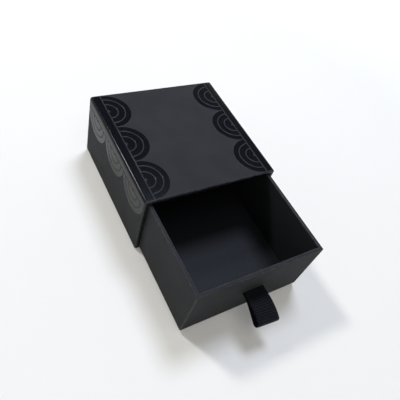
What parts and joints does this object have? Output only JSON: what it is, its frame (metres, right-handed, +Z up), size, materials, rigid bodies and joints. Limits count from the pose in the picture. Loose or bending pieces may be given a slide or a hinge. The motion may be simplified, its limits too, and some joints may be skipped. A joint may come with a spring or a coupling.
{
  "type": "drawer gift box",
  "caption": "Rigid black drawer box: a covered board sleeve, closed at the back, with a tray drawer that slides out by a ribbon loop.",
  "frame": {"origin": "middle of the sleeve's underside, on the surface that the box stands on", "axes": "+Z up, -Y out of the sleeve's mouth, the way the drawer opens, +X to the right seen from the front"},
  "size_m": [0.1, 0.185, 0.0525],
  "materials": {
    "grey_board": "matte",
    "covering_paper": "satin",
    "lining_paper": "matte",
    "stay_tape": "matte",
    "magnet_plating": "satin",
    "ribbon": "satin"
  },
  "bodies": {
    "sleeve": {"sleeve_top_board": "grey_board", "sleeve_bottom_board": "grey_board", "sleeve_left_board": "grey_board", "sleeve_right_board": "grey_board", "sleeve_back_board": "grey_board", "sleeve_wrap": "covering_paper", "sleeve_base_sheet": "covering_paper", "sleeve_back_sheet": "covering_paper", "sleeve_liner": "lining_paper", "sleeve_back_liner": "lining_paper", "sleeve_magnets": "magnet_plating"},
    "drawer": {"drawer_bottom_board": "grey_board", "drawer_front_board": "grey_board", "drawer_back_board": "grey_board", "drawer_left_board": "grey_board", "drawer_right_board": "grey_board", "drawer_corner_stays": "stay_tape", "drawer_wrap": "covering_paper", "drawer_floor_liner": "lining_paper", "drawer_base_sheet": "covering_paper", "drawer_magnets": "magnet_plating", "ribbon_tails": "ribbon"},
    "ribbon_pull": {"ribbon_loop": "ribbon"}
  },
  "joints": [
    {"name": "drawer_slide", "type": "slide", "parent": "sleeve", "child": "drawer", "axis": [0, -1, 0], "range_m": [-0.065, 0.033]},
    {"name": "ribbon_bend", "type": "hinge", "parent": "drawer", "child": "ribbon_pull", "pos_m": [0, -0.1148, 0.02575], "axis": [-1, 0, 0], "range_deg": [-55, 75], "stiffness_Nm_per_rad": 0.0006, "springref_deg": 1.15}
  ]
}
